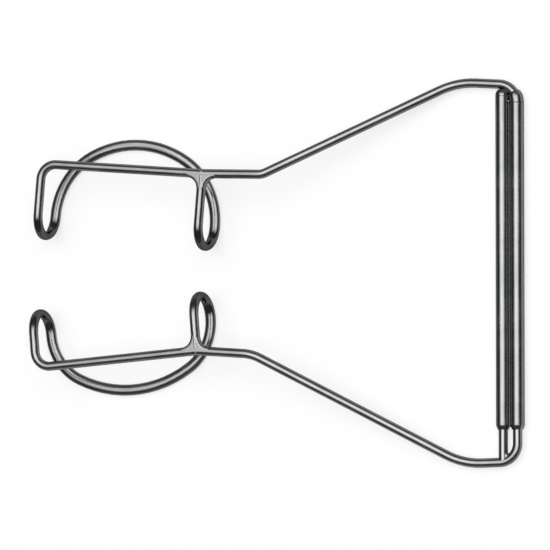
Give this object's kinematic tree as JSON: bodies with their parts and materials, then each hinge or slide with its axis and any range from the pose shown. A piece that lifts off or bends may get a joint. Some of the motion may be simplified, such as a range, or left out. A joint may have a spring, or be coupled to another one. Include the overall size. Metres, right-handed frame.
{
  "type": "eye speculum",
  "caption": "Wire eye speculum: closed-loop blades hook under the upper and lower lids and are spread along a brazed double-barrel slide held by friction.",
  "frame": {"origin": "on the floor, below the middle of the instrument's bounding box", "axes": "+X from the blades to the sleeve, +Y towards the upper lid, +Z away from the eye"},
  "size_m": [0.041, 0.0304, 0.0041],
  "materials": {
    "frame_wire": "polished stainless wire",
    "sleeve_tube": "satin stainless tube",
    "silver_braze": "polished silver braze"
  },
  "bodies": {
    "upper_frame": {"upper_blade_wire": "frame_wire", "upper_junction_braze": "silver_braze", "outer_barrel": "sleeve_tube", "inner_barrel": "sleeve_tube", "barrel_seam_braze": "silver_braze", "barrel_top_braze": "silver_braze"},
    "lower_frame": {"lower_blade_wire": "frame_wire", "lower_junction_braze": "silver_braze", "guide_rod": "frame_wire", "guide_rod_braze": "silver_braze"}
  },
  "joints": [
    {"name": "blade_slide", "type": "slide", "parent": "upper_frame", "child": "lower_frame", "axis": [0, -1, 0], "range_m": [-0.001, 0.0125]}
  ]
}
